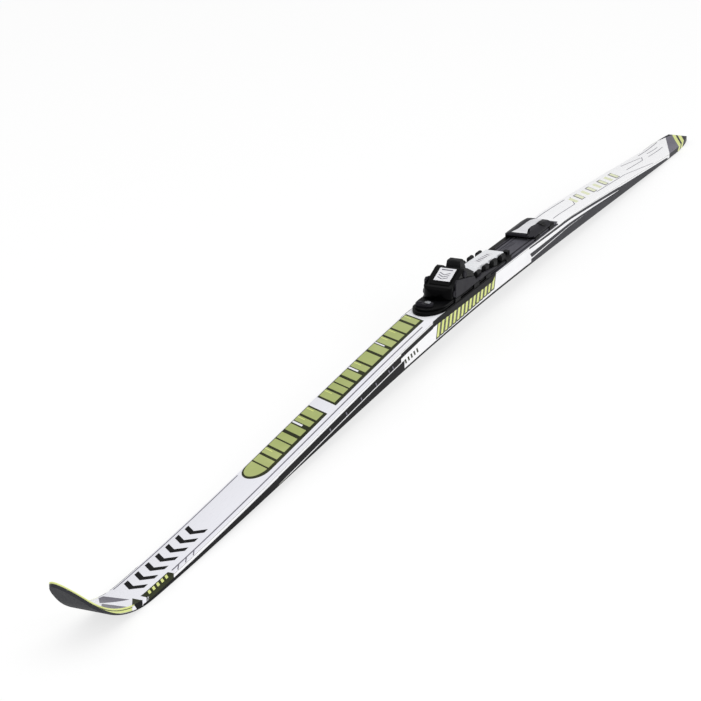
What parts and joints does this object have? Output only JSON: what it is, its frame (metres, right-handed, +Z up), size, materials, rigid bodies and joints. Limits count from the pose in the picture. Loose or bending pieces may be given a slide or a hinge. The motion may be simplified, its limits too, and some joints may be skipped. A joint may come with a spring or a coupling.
{
  "type": "cross country ski",
  "caption": "Slim cambered cross-country ski with a curled tip and a rail-mounted automatic toe-bar binding with a separate heel plate.",
  "frame": {"origin": "on the ground under the middle of the ski, half way from tail to tip", "axes": "+X towards the tip, +Y towards the left edge, +Z up off the snow"},
  "size_m": [1.964, 0.044, 0.092],
  "materials": {
    "topsheet": "glossy printed nylon top sheet",
    "sidewall": "satin ABS",
    "lime_edge": "satin",
    "ski_base": "ground sintered polyethylene",
    "laminate": "glass fibre laminate",
    "core_wood": "light wood core",
    "filler": "moulded",
    "plate_plastic": "moulded, fine grain",
    "black_plastic": "moulded",
    "black_gloss": "polished moulding",
    "grey_plastic": "moulded, fine grain",
    "white_plastic": "moulded",
    "silver_label": "satin silver",
    "steel": "plain",
    "flexor_rubber": "moulded rubber"
  },
  "bodies": {
    "ski": {"base": "ski_base", "lower_laminate": "laminate", "core": "core_wood", "tip_filler": "filler", "tail_filler": "filler", "upper_laminate": "laminate", "topsheet": "topsheet", "sidewall_left": "sidewall", "sidewall_right": "sidewall", "tip_edge": "lime_edge", "tail_protector": "filler", "binding_plate": "plate_plastic"},
    "front_unit": {"front_chassis": "black_plastic", "front_housing": "black_gloss", "button_pin": "steel", "button_spring": "steel", "hook_spring": "steel", "toe_bar_seat": "steel", "flexor": "flexor_rubber", "skirt_left": "grey_plastic", "skirt_right": "grey_plastic", "ridge_base": "black_plastic", "ridge_plate": "white_plastic", "ridge_inset": "silver_label", "ridge_lugs": "flexor_rubber", "lock_pivot": "steel"},
    "release": {"release_button": "black_gloss", "button_label": "silver_label"},
    "latch": {"latch_hook": "steel"},
    "lock": {"lock_lever": "grey_plastic"},
    "heel_unit": {"heel_base": "black_plastic", "heel_plate": "grey_plastic", "heel_insert": "silver_label", "heel_pad": "flexor_rubber"}
  },
  "joints": [
    {"name": "front_slide", "type": "slide", "parent": "ski", "child": "front_unit", "axis": [0.9998, 0, 0.0187], "range_m": [-0.012, 0.012]},
    {"name": "button_press", "type": "hinge", "parent": "front_unit", "child": "release", "pos_m": [-0.01054, 0, 0.07926], "axis": [0, 1, 0], "range_deg": [0, 10], "stiffness_Nm_per_rad": 1.2, "springref_deg": -8.59, "deforming": ["button_spring"]},
    {"name": "latch_slide", "type": "slide", "parent": "front_unit", "child": "latch", "axis": [-0.9998, 0, -0.0187], "range_m": [0, 0.0027], "deforming": ["hook_spring"]},
    {"name": "lock_turn", "type": "hinge", "parent": "front_unit", "child": "lock", "pos_m": [0.06384, 0, 0.05965], "axis": [-0.0187, 0, 0.9998], "range_deg": [0, 80]},
    {"name": "heel_slide", "type": "slide", "parent": "ski", "child": "heel_unit", "axis": [0.9998, 0, 0.0187], "range_m": [-0.012, 0.012]}
  ],
  "couplings": [
    {"joint": "latch_slide", "follows": "button_press", "m_per_rad": 0.01546}
  ]
}
